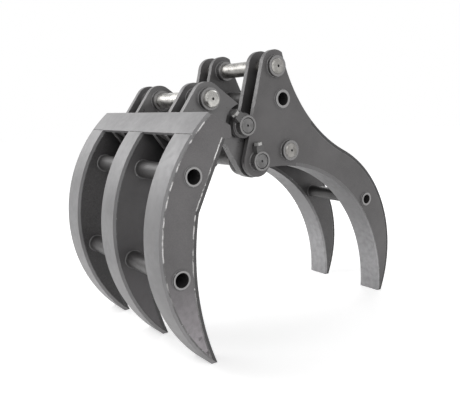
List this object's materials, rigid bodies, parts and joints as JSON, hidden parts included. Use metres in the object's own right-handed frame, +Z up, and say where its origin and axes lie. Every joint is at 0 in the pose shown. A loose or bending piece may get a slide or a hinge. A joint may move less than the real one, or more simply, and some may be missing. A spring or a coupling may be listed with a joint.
{
  "type": "mini excavator grapple",
  "caption": "Pin-on mechanical grapple for a mini excavator: a wide front jaw of curved box-section tines, hinged to a narrower rear jaw, with stick, link and strut pins",
  "frame": {"origin": "centre of the stick pin, in the middle of the grapple's width", "axes": "+Y along the pins to the far side, +X level towards the rear two-tine jaw, +Z up with the tine tips resting on the ground"},
  "size_m": [0.7718, 0.48, 0.6409],
  "materials": {
    "graphite_paint": "satin graphite paint over welded steel plate",
    "collar_paint": "satin graphite paint, turned collars",
    "painted_pin": "grey painted pin ends",
    "bright_steel": "turned bright pins",
    "bolt_steel": "zinc plated bolts"
  },
  "bodies": {
    "rear_jaw": {"rear_plate_near_outer": "graphite_paint", "rear_plate_near_inner": "graphite_paint", "rear_plate_far_inner": "graphite_paint", "rear_plate_far_outer": "graphite_paint", "rear_back_strap_near": "graphite_paint", "rear_back_strap_far": "graphite_paint", "rear_inner_strap_near": "graphite_paint", "rear_inner_strap_far": "graphite_paint", "rear_web_plate": "graphite_paint", "rear_cross_tube": "graphite_paint", "spreader_tube": "graphite_paint", "stick_bosses_outer": "collar_paint", "stick_bosses_inner": "collar_paint", "strut_bosses": "collar_paint", "hinge_collars": "collar_paint", "stop_tubes": "collar_paint", "stick_pin": "bright_steel", "strut_pin": "bright_steel", "hinge_pin": "painted_pin", "stop_pin": "painted_pin", "retaining_blocks": "graphite_paint", "retaining_bolts": "bolt_steel"},
    "front_jaw": {"tine_near_side_outer": "graphite_paint", "tine_near_side_inner": "graphite_paint", "tine_mid_side_near": "graphite_paint", "tine_mid_side_far": "graphite_paint", "tine_far_side_inner": "graphite_paint", "tine_far_side_outer": "graphite_paint", "tine_near_outer_strap": "graphite_paint", "tine_mid_outer_strap": "graphite_paint", "tine_far_outer_strap": "graphite_paint", "tine_near_inner_strap": "graphite_paint", "tine_mid_inner_strap": "graphite_paint", "tine_far_inner_strap": "graphite_paint", "beam_plate": "graphite_paint", "back_plate_near": "graphite_paint", "back_plate_far": "graphite_paint", "upper_cross_tube": "graphite_paint", "lower_cross_tube": "graphite_paint", "link_ear_near_outer": "graphite_paint", "link_ear_near_inner": "graphite_paint", "link_ear_far_inner": "graphite_paint", "link_ear_far_outer": "graphite_paint", "hinge_lug_near": "graphite_paint", "hinge_lug_far": "graphite_paint", "hinge_bosses": "collar_paint", "link_bosses_outer": "collar_paint", "link_bosses_inner": "collar_paint", "link_sleeves": "graphite_paint", "link_pin": "bright_steel"}
  },
  "joints": [
    {"name": "jaw_hinge", "type": "hinge", "parent": "rear_jaw", "child": "front_jaw", "pos_m": [-0.055, 0, -0.21], "axis": [0, -1, 0], "range_deg": [0, 90]}
  ]
}
